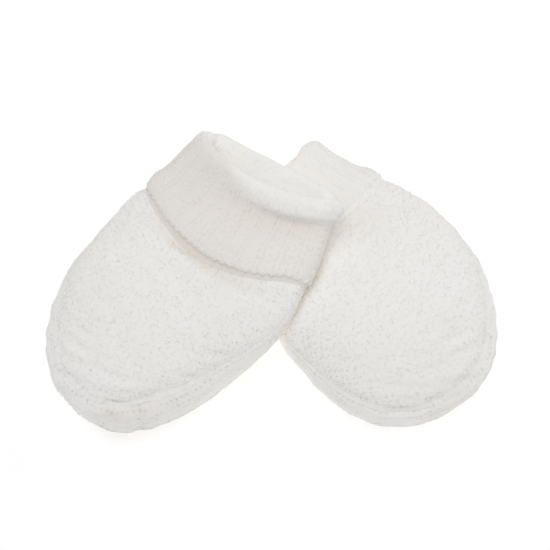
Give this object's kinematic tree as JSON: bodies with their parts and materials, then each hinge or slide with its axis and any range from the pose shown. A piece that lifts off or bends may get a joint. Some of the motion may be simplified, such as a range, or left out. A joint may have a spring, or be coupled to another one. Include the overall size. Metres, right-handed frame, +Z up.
{
  "type": "pair of baby mittens",
  "caption": "Mittens that keep a baby's hands warm: thumbless, knitted in plain wool, filled out and empty, cuffs turned back, one resting on the other.",
  "frame": {"origin": "centre of the pair's bounding box in plan, on the surface that the pair rests on", "axes": "+X from the left mitten to the right one, +Y away from the viewer towards the cuffs, +Z up"},
  "size_m": [0.1452, 0.1012, 0.0403],
  "materials": {
    "hand_wool": "matt, soft",
    "palm_wool": "matt, soft",
    "cuff_wool": "matt, soft"
  },
  "bodies": {
    "root": {"left_back": "hand_wool", "left_palm": "palm_wool", "left_cuff": "cuff_wool", "right_back": "hand_wool", "right_palm": "palm_wool", "right_cuff": "cuff_wool"}
  },
  "joints": []
}
